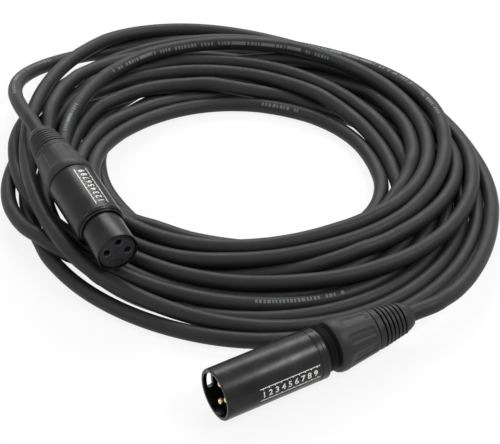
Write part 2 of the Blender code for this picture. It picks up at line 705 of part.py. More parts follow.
def tail(name, frame, jacket_end, rear, route, coil_end, coil_next, materials):
    """From the stripped end, straight through the boot, along the route and straight on to the coil."""
    start = frame @ Vector((jacket_end, 0.0, 0.0))
    boot_rear = frame @ Vector((rear, 0.0, 0.0))
    straight = frame @ Vector((rear + TAIL_STRAIGHT, 0.0, 0.0))
    inward = (coil_end - coil_next).normalized()
    face = coil_end + inward * GAP
    lead = face + inward * 2 * CABLE_R
    centre = Vector((*COIL_CENTRE, 0.0))
    between = [centre + Vector(point) * MM for point in route]
    curve = smooth_curve([boot_rear, straight, *between, lead, face], STEPS_PER_STRETCH)
    path = [start, *curve[STEPS_PER_STRETCH:-STEPS_PER_STRETCH], face]
    print(f"{name}: length {path_length(path):.3f} m")
    tube(name, path, CABLE_R, TAIL_SIDES_LEVEL, materials["jacket"])
    return path


# Layout


def place(name, x, y, z, heading_deg, rise_deg, roll_deg):
    """An empty at a connector's front face, its +X from there back towards the cable."""
    made = bpy.data.objects.new(name, None)
    bpy.context.scene.collection.objects.link(made)
    turn = (
        Matrix.Rotation(math.radians(heading_deg), 4, "Z")
        @ Matrix.Rotation(math.radians(-rise_deg), 4, "Y")
        @ Matrix.Rotation(math.radians(roll_deg), 4, "X")
    )
    made.matrix_world = Matrix.Translation((x, y, z)) @ turn
    bpy.context.view_layer.update()
    return made


def female_height():
    """The front face's height, with the latch button's lowest corner just clear of the coil."""
    roll = math.radians(FEMALE_ROLL_DEG)
    rise = math.radians(FEMALE_RISE_DEG)
    drop = (FEMALE_SHELL_R + BUTTON_HEIGHT) * math.cos(roll) + LATCH_WIDTH / 2 * math.sin(abs(roll))
    corner = drop * math.cos(rise) - BUTTON_START * math.sin(rise)
    return coil_high_z() + flat_half() + BUTTON_CLEAR + corner


def build():
    clear_scene()
    materials = make_materials()
    centre_x, centre_y = COIL_CENTRE
    male = place(
        "male_frame", centre_x + MALE_FRONT[0], centre_y + MALE_FRONT[1], BOOT_MAX_R + FLOOR_CLEAR,
        0.0, 0.0, MALE_ROLL_DEG,
    )
    female = place(
        "female_frame", centre_x + FEMALE_FRONT[0], centre_y + FEMALE_FRONT[1], female_height(),
        FEMALE_HEADING_DEG, FEMALE_RISE_DEG, FEMALE_ROLL_DEG,
    )
    male_shell(materials, male)
    male_insert(materials, male)
    male_pins(materials, male)
    male_jacket_end = male_cups_end() + MALE_WIRE_LENGTH
    conductors("male", male_cups_end(), male_jacket_end, materials, male)
    female_shell(materials, female)
    female_insert(materials, female)
    female_contacts(materials, female)
    female_jacket_end = female_cups_end() + FEMALE_WIRE_LENGTH
    conductors("female", female_cups_end(), female_jacket_end, materials, female)
    latch(materials, female)
    latch_spring(materials, female)
    rears = {}
    for prefix, shell_length, opened, frame in (
        ("male", male_shell_length(), MALE_BOOT_OPEN, male),
        ("female", female_shell_length(), FEMALE_BOOT_OPEN, female),
    ):
        boot_at = shell_length + PIECE_CLEAR + opened
        chuck(prefix, boot_at, materials, frame)
        boot(prefix, boot_at, materials, frame)
        gland(prefix, boot_at, materials, frame)
        rears[prefix] = boot_at + BOOT_LENGTH + GLAND_LENGTH
    points = cable_coil(materials)
    tail(
        "male_tail", male.matrix_world, male_jacket_end, rears["male"], MALE_TAIL_ROUTE, points[0], points[1],
        materials,
    )
    tail(
        "female_tail", female.matrix_world, female_jacket_end, rears["female"], FEMALE_TAIL_ROUTE, points[-1],
        points[-2], materials,
    )


build()
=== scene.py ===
import json
import math

import bmesh
import bpy
import numpy as np
from mathutils import Matrix, Vector


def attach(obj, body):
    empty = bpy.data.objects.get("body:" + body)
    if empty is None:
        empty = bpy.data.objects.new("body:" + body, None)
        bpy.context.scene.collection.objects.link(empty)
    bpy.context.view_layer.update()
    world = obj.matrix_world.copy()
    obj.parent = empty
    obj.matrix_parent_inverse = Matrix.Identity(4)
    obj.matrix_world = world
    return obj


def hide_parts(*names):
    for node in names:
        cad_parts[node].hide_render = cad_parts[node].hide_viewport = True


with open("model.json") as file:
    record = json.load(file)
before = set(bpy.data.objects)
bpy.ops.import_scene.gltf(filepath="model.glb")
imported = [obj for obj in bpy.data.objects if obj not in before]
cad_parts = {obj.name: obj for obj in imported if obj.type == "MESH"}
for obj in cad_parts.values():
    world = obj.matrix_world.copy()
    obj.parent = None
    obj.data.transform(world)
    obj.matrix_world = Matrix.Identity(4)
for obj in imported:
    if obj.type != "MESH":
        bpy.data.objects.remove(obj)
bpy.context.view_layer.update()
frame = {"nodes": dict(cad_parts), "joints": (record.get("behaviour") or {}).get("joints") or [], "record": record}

MM = 0.001

# View: the camera looks along +Y turned clockwise, and down
VIEW_TURN_DEG = 30.83
VIEW_DOWN_DEG = 38.5
CAMERA_AT = (-284.1 * MM, -467.5 * MM, 415.9 * MM)
LENS_MM = 122.5
SENSOR_MM = 36.0

# Light: name, degrees anticlockwise from the camera's right, degrees up, metres away, size, watts
WORLD_LIGHT = 0.35
FLOOR_GLOW = 0.86        # how far the floor's shadow is softened where it is seen
LAMPS = (
    ("back", 86, 42, 1.3, (1.2, 0.4), 11.0),
    ("right", -15, 53, 1.2, (0.45, 0.17), 5.3),
    ("left", 200, 40, 1.2, (0.4, 0.4), 1.6),
)

# CAD nodes that are shown as they are
CARRIED = (
    "female_latch_spring", "female_chuck", "male_chuck", "female_conductor_1", "female_conductor_2",
    "female_conductor_3", "male_conductor_1", "male_conductor_2", "male_conductor_3",
)

# Cable
CABLE_D = 6.0            # mm, as are all sizes of the cable's route
CABLE_R = CABLE_D / 2
COIL_CENTRE = (-1.64, 5.16)
LEVEL_DROP = 10.0        # the loops are laid this far above each other, and then come down
TUBE_STEP = 2.5
TUBE_SIDES = 18

# How the rope comes down. Pairs are (more at first, always), in mm for each round or as a share.
ROPE_STEP = 4.0
ROPE_ROUNDS = 700
NEW_PAIRS_AFTER = 8      # rounds between two searches for strands that are near each other
NEAR_REACH = 13.0
FALL = (0.14, 0.08)
PULL_TO_PLAN = (0.12, 0.02)
BEND_STRIDES = (1, 2, 3) * 4
BEND_SHARE = 0.05
HEIGHT_STRIDES = (5, 7) * 2
HEIGHT_SHARE = 0.03
PUSH_APART = 0.4
GATHER = 0.014           # how strongly strands that lie almost side by side come together
GATHER_REACH = 2.4
CALM_FROM = 0.85         # the share of the rounds after which strands are only pushed apart
CALM_PASSES = 5
OWN_END = 30             # the points at each end that lie along their own connector
MALE_CLEAR_R = 9.9       # other strands stay this far from a connector's axis
FEMALE_CLEAR_R = 10.3
CLEAR_TO_NUT = 13.0      # the full distance holds this far past the boot's front edge, with its slide,
CLEAR_TO_SLEEVE = 27.0   # and shrinks to here and then to the gland's end
CLEAR_PAST_GLAND = 9.0

# Printed legends: the row in LOOPS, from and to which angle, and degrees from upright to the camera's side
LEGENDS = (
    (11, 62, 137, 58), (11, 156, 170, 50), (6, 34, 78, 12), (6, 16, 28, 40), (12, 141, 165, 30),
    (8, -90, -66, 25), (10, 64, 84, 40), (5, 190, 204, 20),
)
LEGEND_TALL_DEG = 13.0
LEGEND_RIB = 5           # points across a mark
MARK_LENGTHS = ([0.28, 0.36, 0.5, 2.6], [0.3, 0.35, 0.27, 0.08])    # in tube steps, and how likely
MARK_SPACES = ([0.2, 0.28, 0.9], [0.5, 0.35, 0.15])
LEGEND_SEED = 7
COUNTED_FROM = 120       # this many points from the male end, the cable is about at LOOPS' first place

# Connectors: millimetres from the front face back along the axis, and from the axis out
MALE_BOOT_AT = 45.6
FEMALE_BOOT_AT = 43.3
FEMALE_KEY = (-0.163719, 0.046818, -0.985395)
MALE_KEY = (0.0, 1.0, 0.0)
MALE_LENGTH = 41.1
FEMALE_LENGTH = 43.0
GLAND_END = 34.7         # from the boot's front edge
BOOT_GAP = 0.75
CONTACT_CIRCLE = 4.08
CONTACT_DEG = (-90.0, 90.0, 180.0)
FINE = 96                # segments of the large turned pieces
SMALL = 40
SHARP_DEG = 32.0         # edges that are sharper than this stay sharp
NUMERALS = "1 2 3 4 5 6 7 8 9"
NUMERAL_HEIGHT = 2.5
NUMERAL_MARGIN = 1.2
BAND_HALF = 2.45
BAND_LINE = 0.28
BAND_STRIP = 0.4         # the numerals are cut into strips this wide, to lie round the barrel
TICK = 0.6
PRINT_LIFT = 0.04

# The coil, from the male connector's tail to the female's: one row for each turn from the front.
# Each place is (degrees anticlockwise from the camera's right, mm from the coil's centre, level).
LOOPS = (
    ((-22, 97.0, 0), (-10, 91.5, 0), (10, 87.5, 0), (40, 86.5, 0), (60, 87, 0), (75, 91, 0),
     (90, 97, 0.3), (105, 104.5, 0.8), (122, 112, 1.0), (135, 110, 1.5), (145, 104, 1.7),
     (160, 95.5, 1.7), (180, 91, 1.7), (210, 88.5, 1.4), (240, 89.5, 1.1)),
    ((-90, 92, 1.1), (-60, 94, 1), (-40, 92.5, 0.9), (-25, 88.5, 0.8), (0, 80, 0.8), (30, 74, 0.3),
     (60, 69, 0), (90, 67, 0), (120, 66, 0), (150, 64, 0), (180, 63, 0), (210, 61, 0), (240, 59, 0)),
    ((-90, 58, 0), (-60, 59, 0), (-30, 62, 0.6), (-20, 63, 0.9), (0, 66, 1.6), (20, 68.5, 1.3),
     (40, 69, 1.1), (60, 72, 1), (80, 82, 0.6), (100, 90, 0.6), (120, 94, 1), (140, 93.8, 1),
     (150, 91.7, 1), (160, 88, 1), (180, 79, 0.7), (195, 77.5, 0.4), (210, 74.5, 0.1), (240, 71, 0)),
    ((-90, 71.5, 0), (-60, 72, 0), (-30, 70, 0.2), (0, 63.5, 0.7), (20, 57.5, 0.9), (40, 53, 1),
     (60, 53, 1), (75, 55.5, 1), (90, 61, 1), (110, 71, 0.9), (120, 75, 0.7), (140, 82, 0.2),
     (160, 86, 0), (180, 89.5, 0), (200, 95, 0.2), (210, 96.5, 0.6), (220, 96, 0.9), (230, 95.5, 0.6),
     (245, 96.5, 0.2)),
    ((-90, 100, 0), (-60, 98.5, 0), (-45, 97, 0), (-30, 94, 0), (-14, 88.5, 0), (0, 83.5, 0),
     (30, 79, 0), (60, 77, 0), (90, 85, 0), (120, 94, 0), (150, 91, 0), (180, 81.5, 0), (210, 80, 0),
     (225, 82.5, 0), (240, 86.5, 0)),
    ((-90, 91.5, 0), (-60, 90.5, 0), (-30, 85.5, 0), (0, 76.5, 0), (30, 67.5, 0), (60, 61, 0),
     (90, 56, 0.3), (110, 56.5, 0.8), (130, 58.5, 1), (140, 63, 1), (150, 66, 1), (170, 70, 1),
     (190, 69, 1), (215, 69, 0.9), (240, 68, 1)),
    ((-105, 67, 1), (-90, 66.5, 1), (-60, 66, 1.1), (-45, 66, 1.2), (-30, 70, 1.4), (-20, 73, 1.6),
     (0, 79.5, 1.8), (15, 82, 1.8), (30, 82, 1.7), (50, 81.5, 1.3), (60, 82.5, 1.1), (75, 87, 1),
     (90, 94, 1), (100, 98, 1), (110, 101.5, 1), (120, 103.3, 0.9), (130, 103, 0.9), (140, 100, 0.9),
     (150, 98, 0.9), (165, 96, 1.1), (180, 93, 1.2), (190, 91.5, 1.1), (197, 90, 0.9), (210, 86, 0.5),
     (240, 80, 0)),
    ((-90, 77.5, 0), (-60, 78, 0), (-30, 76, 0.3), (0, 69, 0.8), (20, 63, 1), (40, 61, 1.1),
     (60, 63.5, 1.1), (80, 68.5, 1.1), (90, 71.5, 1.1), (103, 77, 0.8), (120, 84, 0.3), (140, 89, 0.1),
     (160, 93.5, 0), (180, 97.5, 0.1), (190, 98.5, 0.5), (200, 96.5, 0.9), (210, 92.5, 0.7),
     (223, 90, 0.4), (240, 86, 0)),
    ((-90, 83.5, 0), (-60, 83, 0), (-30, 79, 0), (0, 70, 0), (30, 61, 0), (60, 55.5, 0), (80, 52, 0.3),
     (100, 54, 0.9), (110, 59, 1.1), (120, 64.5, 1.2), (130, 70.5, 1.3), (150, 74.5, 1.3),
     (165, 74.5, 1.2), (180, 73, 1), (210, 68, 0.5), (240, 65, 0)),
    ((-90, 64, 0), (-75, 64.5, 0.2), (-60, 68, 0.6), (-45, 70, 0.9), (-30, 75, 1.2), (-20, 80, 1.6),
     (-10, 84, 2), (0, 85.5, 2), (15, 84.5, 1.6), (40, 78.5, 1.2), (60, 76, 1), (80, 78, 0.6),
     (100, 80, 0.3), (120, 79, 0), (150, 74, 0), (180, 68, 0), (210, 58, 0), (240, 53, 0)),
    ((-90, 52.5, 0), (-60, 54, 0), (-30, 57, 0), (0, 60.5, 0), (20, 54, 0), (40, 50.5, 0), (60, 50, 0),
     (80, 50, 0), (100, 52, 0.2), (120, 54, 0.5), (140, 56, 0.9), (150, 57.7, 1), (160, 60.3, 1),
     (170, 64, 1), (180, 66, 1.1), (200, 67, 1.1), (220, 66.5, 1.1), (235, 63, 1.1), (240, 60, 1.2)),
    ((-90, 56, 1.2), (-60, 56.7, 1.4), (-45, 59, 1.6), (-30, 62.5, 1.9), (-10, 69, 2.3), (0, 71.5, 2.4),
     (20, 75, 2.4), (40, 76, 2.4), (60, 76, 2.4), (80, 79, 2.2), (90, 80, 2.1), (105, 81, 2.1),
     (120, 83, 2), (130, 84, 2), (145, 83.5, 2), (160, 80.5, 1.9), (180, 77, 1.6), (210, 75.5, 1.3),
     (240, 75, 1.15)),
    ((-90, 75.5, 1.2), (-75, 77.4, 1.4), (-60, 80.6, 1.8), (-45, 84.6, 2), (-30, 88, 2), (-20, 89, 1.8),
     (-10, 88.8, 1.6), (0, 87, 1.2), (14, 84, 0.9), (40, 81.5, 0.3), (60, 82, 0), (80, 91, 0),
     (100, 101, 0), (120, 108, 0)),
)

# Routes of the free stretches from the coil's centre, in millimetres: (x, y, height of the centreline)
MALE_TAIL_ROUTE = ((25.4, -101.6, 5.8), (42.0, -93.4, 3.5), (55.0, -84.6, 3.1))
FEMALE_TAIL_ROUTE = ((-70.4, 74.5, 20.5), (-58.5, 96.5, 10.5), (-42.0, 105.0, 4.6))
TAIL_STRAIGHT = 15.0
HELD_INSIDE = 24.0        # the cord's line starts this far inside each gland
HELD_PAST = 4             # points that stay straight past the gland's end


def make_camera():
    camera = bpy.data.objects.new("camera", bpy.data.cameras.new("camera"))
    bpy.context.scene.collection.objects.link(camera)
    camera.location = CAMERA_AT
    camera.rotation_euler = (math.radians(90 - VIEW_DOWN_DEG), 0.0, math.radians(-VIEW_TURN_DEG))
    camera.data.sensor_width = SENSOR_MM
    camera.data.lens = LENS_MM
    camera.data.clip_start = 0.01
    bpy.context.scene.camera = camera


def connector_frame(prefix, key, boot_at):
    """A matrix at the connector's front face: +X back along the cable, -Z towards the key."""
    joint = next(j for j in frame["joints"] if j["name"] == f"{prefix}_boot_turn")
    along = Vector(joint["axis"]).normalized()
    up = -(Vector(key) - along * along.dot(Vector(key))).normalized()
    side = up.cross(along)
    turn = Matrix((along, side, up)).transposed().to_4x4()
    return Matrix.Translation(Vector(joint["pos_m"]) - along * boot_at * MM) @ turn


# The cable: laid along the loops, then let down as a rope


def smooth_through(points, step):
    """Points about a step apart on a centripetal Catmull-Rom curve through the given points."""
    points = np.asarray(points, float)
    ends = np.vstack([2 * points[0] - points[1], points, 2 * points[-1] - points[-2]])
    laid = []
    for a, b, c, d in zip(ends, ends[1:], ends[2:], ends[3:]):
        t1 = math.sqrt(np.linalg.norm(b - a))
        t2 = t1 + math.sqrt(np.linalg.norm(c - b))
        t3 = t2 + math.sqrt(np.linalg.norm(d - c))
        count = max(2, round(np.linalg.norm(c - b) / step))
        t = np.linspace(t1, t2, count, endpoint=False)[:, None]
        ab = ((t1 - t) * a + t * b) / t1
        bc = ((t2 - t) * b + (t - t1) * c) / (t2 - t1)
        cd = ((t3 - t) * c + (t - t2) * d) / (t3 - t2)
        abc = ((t2 - t) * ab + t * bc) / t2
        bcd = ((t3 - t) * bc + (t - t1) * cd) / (t3 - t1)
        laid.append(((t2 - t) * abc + (t - t1) * bcd) / (t2 - t1))
    return np.vstack(laid + [points[-1:]])


def resampled(points, step):
    """The same line with points at equal distances, about a step apart."""
    along = np.concatenate([[0], np.cumsum(np.linalg.norm(np.diff(points, axis=0), axis=1))])
    places = np.linspace(0, along[-1], round(along[-1] / step) + 1)
    return np.column_stack([np.interp(places, along, points[:, axis]) for axis in range(3)])


def coil_places(level_height):
    """The loops' places as points, in millimetres, at the given height for each level."""
    placed = []
    for turn, row in enumerate(LOOPS):
        for degrees, reach, level in row:
            angle = math.radians(degrees - VIEW_TURN_DEG)
            placed.append((
                COIL_CENTRE[0] + reach * math.cos(angle), COIL_CENTRE[1] + reach * math.sin(angle),
                CABLE_R + level * level_height,
            ))
    return placed


def held_end(place, boot_at):
    """The straight run at a connector: inside the gland, at its end, and clear of it."""
    gland_end = boot_at + GLAND_END
    return [
        np.array(place @ Vector((x * MM, 0, 0))) / MM
        for x in (gland_end - HELD_INSIDE, gland_end, gland_end + TAIL_STRAIGHT)
    ]


def cable_route(male, female, level_height):
    """From inside the male gland to inside the female one."""
    centre = np.array([*COIL_CENTRE, 0.0])
    male_end = held_end(male, MALE_BOOT_AT)
    female_end = reversed(held_end(female, FEMALE_BOOT_AT))
    male_tail = [centre + np.array(place) for place in MALE_TAIL_ROUTE]
    female_tail = [centre + np.array(place) for place in reversed(FEMALE_TAIL_ROUTE)]
    places = [*male_end, *male_tail, *coil_places(level_height), *female_tail, *female_end]
    return smooth_through(places, 1.0)


def near_pairs(points, reach):
    """Pairs of stretches whose middles are within reach and that aren't neighbours on the rope."""
    middles = ((points[:-1] + points[1:]) / 2).astype(np.float32)
    squares = (middles ** 2).sum(1)
    apart = squares[:, None] + squares[None, :] - 2 * middles @ middles.T
    first, second = np.nonzero(apart < reach * reach)
    kept = second > first + 5
    return first[kept], second[kept]


def closest_on_pairs(points, first, second):
    """Shares along both stretches of each pair where they are closest, and the vector between."""
    a, b = points[first], points[first + 1] - points[first]
    c, d = points[second], points[second + 1] - points[second]
    r = a - c
    bb, dd, bd = (b * b).sum(1), (d * d).sum(1), (b * d).sum(1)
    br, dr = (b * r).sum(1), (d * r).sum(1)
    spread = np.maximum(bb * dd - bd * bd, 1e-3 * bb * dd)
    s = np.clip((bd * dr - br * dd) / spread, 0, 1)
    t = np.clip((bd * s + dr) / dd, 0, 1)
    s = np.clip((bd * t - br) / bb, 0, 1)
    return s, t, (a + s[:, None] * b) - (c + t[:, None] * d)


def clear_of(points, place, boot_at, clear_r):
    """How far each point must move to lie clear of a connector's barrel and boot."""
    start = np.array(place.translation) / MM
    axis = np.array(place.col[0][:3])
    along = (points - start) @ axis
    radial = points - start - along[:, None] * axis
    reach = np.linalg.norm(radial, axis=1)
    clear = np.interp(
        along,
        (-1, 0, boot_at + CLEAR_TO_NUT, boot_at + CLEAR_TO_SLEEVE,
         boot_at + GLAND_END + CLEAR_PAST_GLAND),
        (0, clear_r, clear_r, clear_r - 1.5, clear_r - 4.0), 0, 0,
    )
    short = np.where(clear > 0, np.maximum(clear + CABLE_R - reach, 0), 0)
    return radial / np.maximum(reach, 0.1)[:, None] * short[:, None]


def drawn_to(plan, points, strength, free):
    """Moves the points level and across the rope towards the plan."""
    pull = strength * (plan - points) * free
    pull[:, 2] = 0
    ahead = np.gradient(points, axis=0)
    ahead /= np.linalg.norm(ahead, axis=1, keepdims=True)
    points += pull - ahead * (pull * ahead).sum(1, keepdims=True)


def bend_at(values, stride):
    """The bend over a stride at each place; an even curve has none."""
    a, b, c, d = stride, 2 * stride, 3 * stride, 4 * stride
    return values[:-d] - 4 * values[a:-c] + 6 * values[b:-b] - 4 * values[c:-a] + values[d:]


def eased_bends(points, free):
    for stride in BEND_STRIDES:
        inner = slice(2 * stride, -2 * stride)
        points[inner] -= BEND_SHARE * bend_at(points, stride) * free[inner]
    for stride in HEIGHT_STRIDES:
        inner = slice(2 * stride, -2 * stride)
        points[inner, 2] -= HEIGHT_SHARE * bend_at(points[:, 2], stride) * free[inner, 0]


def evenly_spaced(points, free):
    rest = np.linalg.norm(np.diff(points, axis=0), axis=1).mean()
    for _ in range(2):
        for odd in (0, 1):
            count = (len(points) - odd) // 2
            one = slice(odd, odd + 2 * count, 2)
            two = slice(odd + 1, odd + 1 + 2 * count, 2)
            edge = points[two] - points[one]
            length = np.linalg.norm(edge, axis=1, keepdims=True)
            fix = 0.5 * (1 - rest / length) * edge
            points[one] += fix * free[one]
            points[two] -= fix * free[two]


def push_strands(points, free, first, second, gathering):
    """Pushes strands that touch apart, or gathers those that lie almost side by side."""
    s, t, between = closest_on_pairs(points, first, second)
    distance = np.linalg.norm(between, axis=1)
    if gathering:
        close = (distance > CABLE_D) & (distance < CABLE_D + GATHER_REACH)
    else:
        close = distance < CABLE_D
    i, j, s, t = first[close], second[close], s[close], t[close]
    push = between[close] * ((CABLE_D - distance[close]) / np.maximum(distance[close], 1e-6))[:, None]
    weight = (1 - s) ** 2 + s ** 2 + (1 - t) ** 2 + t ** 2
    push *= ((GATHER if gathering else PUSH_APART) / weight)[:, None]
    if gathering:
        push[:, 2] = 0
    count = len(points)
    for axis in range(3):
        move = np.bincount(i, (1 - s) * push[:, axis], count)
        move += np.bincount(i + 1, s * push[:, axis], count)
        move -= np.bincount(j, (1 - t) * push[:, axis], count)
        move -= np.bincount(j + 1, t * push[:, axis], count)
        points[:, axis] += move * free[:, 0]


def let_down(points, plan, connectors):
    """Lets the rope down on the floor and on itself, smooth and evenly spaced, near its plan."""
    held = np.zeros(len(points), bool)
    inside = int(HELD_INSIDE / ROPE_STEP) + HELD_PAST
    held[:inside] = True
    held[-inside:] = True
    free = (~held)[:, None].astype(float)
    start = points.copy()
    for round_number in range(ROPE_ROUNDS):
        share = round_number / ROPE_ROUNDS
        fall, pull = (most * (1 - share) ** 2 + least for most, least in (FALL, PULL_TO_PLAN))
        if round_number % NEW_PAIRS_AFTER == 0:
            first, second = near_pairs(points, NEAR_REACH)
        points[:, 2] -= fall * free[:, 0]
        drawn_to(plan, points, pull, free)
        eased_bends(points, free)
        evenly_spaced(points, free)
        for gathering in (True, False, False) if share < CALM_FROM else (False,) * CALM_PASSES:
            push_strands(points, free, first, second, gathering)
        for place, boot_at, clear_r in connectors:
            away = clear_of(points, place, boot_at, clear_r)
            away[:OWN_END] = 0
            away[-OWN_END:] = 0
            points += away
        points[:, 2] = np.maximum(points[:, 2], CABLE_R)
        points[held] = start[held]
    return points


def settled_cable(male, female):
    raised = resampled(cable_route(male, female, LEVEL_DROP), ROPE_STEP)
    connectors = ((male, MALE_BOOT_AT, MALE_CLEAR_R), (female, FEMALE_BOOT_AT, FEMALE_CLEAR_R))
    return let_down(raised, raised.copy(), connectors)


def tube_mesh(name, points, radius, sides):
    """A round tube with flat ends; its UV map runs along and around it, in metres and turns."""
    points = np.asarray(points, float)
    ahead = np.gradient(points, axis=0)
    ahead /= np.linalg.norm(ahead, axis=1, keepdims=True)
    side = np.cross(ahead[0], (0, 0, 1.0))
    side /= np.linalg.norm(side)
    rings = []
    turns = np.arange(sides) * math.tau / sides
    for point, axis in zip(points, ahead):
        side -= axis * side.dot(axis)
        side /= np.linalg.norm(side)
        up = np.cross(side, axis)
        around = np.cos(turns)[:, None] * side + np.sin(turns)[:, None] * up
        rings.append(point + radius * around)
    vertices = np.vstack(rings)
    along = np.concatenate([[0], np.cumsum(np.linalg.norm(np.diff(points, axis=0), axis=1))])
    faces = []
    uvs = []
    for ring in range(len(points) - 1):
        for place in range(sides):
            after = (place + 1) % sides
            a = ring * sides
            b = a + sides
            faces.append((a + place, b + place, b + after, a + after))
            v0, v1 = place / sides, (place + 1) / sides
            u0, u1 = along[ring], along[ring + 1]
            uvs += [(u0, v0), (u1, v0), (u1, v1), (u0, v1)]
    last = (len(points) - 1) * sides
    faces.append(tuple(range(sides)))
    faces.append(tuple(last + place for place in reversed(range(sides))))
    uvs += [(0.0, place / sides) for place in range(sides)]
    uvs += [(along[-1], place / sides) for place in reversed(range(sides))]
    mesh = bpy.data.meshes.new(name)
    mesh.from_pydata(vertices.tolist(), [], faces)
    layer = mesh.uv_layers.new(name="along")
    layer.data.foreach_set("uv", np.array(uvs, float).ravel())
    mesh.shade_smooth()
    mesh.set_sharp_from_angle(angle=math.radians(50))
    return mesh


def add_piece(name, mesh, material):
    made = bpy.data.objects.new(name, mesh)
    bpy.context.scene.collection.objects.link(made)
    mesh.materials.clear()
    mesh.materials.append(material)
    return made


def base_material(name, roughness, metallic=0.0, specular=0.5):
    material = bpy.data.materials.new(name)
    material.use_nodes = True
    shader = material.node_tree.nodes["Principled BSDF"]
    shader.inputs["Roughness"].default_value = roughness
    shader.inputs["Metallic"].default_value = metallic
    shader.inputs["Specular IOR Level"].default_value = specular
    return material, shader


def noise(tree, vector, scale, detail=3.0, rough=0.55):
    made = tree.nodes.new("ShaderNodeTexNoise")
    made.inputs["Scale"].default_value = scale
    made.inputs["Detail"].default_value = detail
    made.inputs["Roughness"].default_value = rough
    tree.links.new(vector, made.inputs["Vector"])
    return made.outputs["Fac"]


def ranged(tree, value, from_low, from_high, to_low, to_high):
    made = tree.nodes.new("ShaderNodeMapRange")
    limits = {"From Min": from_low, "From Max": from_high, "To Min": to_low, "To Max": to_high}
    for socket, number in limits.items():
        made.inputs[socket].default_value = number
    tree.links.new(value, made.inputs["Value"])
    return made.outputs["Result"]


def mixed(tree, factor, one, two):
    """One colour or socket over another by a factor."""
    made = tree.nodes.new("ShaderNodeMix")
    made.data_type = "RGBA"
    tree.links.new(factor, made.inputs[0])
    for socket, color in ((made.inputs[6], one), (made.inputs[7], two)):
        if isinstance(color, tuple):
            socket.default_value = (*color, 1.0)
        else:
            tree.links.new(color, socket)
    return made.outputs[2]


def multiplied(tree, one, two):
    made = tree.nodes.new("ShaderNodeMath")
    made.operation = "MULTIPLY"
    tree.links.new(one, made.inputs[0])
    tree.links.new(two, made.inputs[1])
    return made.outputs[0]


def surface_vector(tree, stretch=None):
    """Object coordinates, or the cable's along-and-around coordinates in metres, stretched along."""
    coordinates = tree.nodes.new("ShaderNodeTexCoord")
    if stretch is None:
        return coordinates.outputs["Object"]
    scaled = tree.nodes.new("ShaderNodeMapping")
    scaled.inputs["Scale"].default_value = (stretch, math.pi * CABLE_D * MM, 1.0)
    tree.links.new(coordinates.outputs["UV"], scaled.inputs["Vector"])
    return scaled.outputs["Vector"]


def bumped(tree, shader, height, depth_mm, strength):
    made = tree.nodes.new("ShaderNodeBump")
    made.inputs["Distance"].default_value = depth_mm * MM
    made.inputs["Strength"].default_value = strength
    tree.links.new(height, made.inputs["Height"])
    tree.links.new(made.outputs["Normal"], shader.inputs["Normal"])


def worn_look(name, color, roughness, metallic=0.0, specular=0.5, grain=2500, depth=0.02, strength=0.4,
              wear_color=None, wear=0.0, stretch=None):
    """A surface with fine grain, cloudy tone and gloss, and small worn or dusty specks."""
    material, shader = base_material(name, roughness, metallic, specular)
    tree = material.node_tree
    vector = surface_vector(tree, stretch)
    clouds = noise(tree, vector, 120, 4.0)
    dark = tuple(0.82 * part for part in color)
    light = tuple(min(1.0, 1.2 * part) for part in color)
    tone = mixed(tree, ranged(tree, clouds, 0.3, 0.7, 0, 1), dark, light)
    if wear_color:
        specks = ranged(tree, noise(tree, vector, 1500, 2.0), 0.70, 0.78, 0, wear)
        patches = ranged(tree, noise(tree, vector, 60, 2.0), 0.45, 0.6, 0.2, 1)
        tone = mixed(tree, multiplied(tree, specks, patches), tone, wear_color)
    tree.links.new(tone, shader.inputs["Base Color"])
    gloss = ranged(tree, noise(tree, vector, 260, 5.0), 0.25, 0.75, roughness - 0.06, roughness + 0.07)
    tree.links.new(gloss, shader.inputs["Roughness"])
    bumped(tree, shader, noise(tree, vector, grain, 2.0, 0.6), depth, strength)
    return material


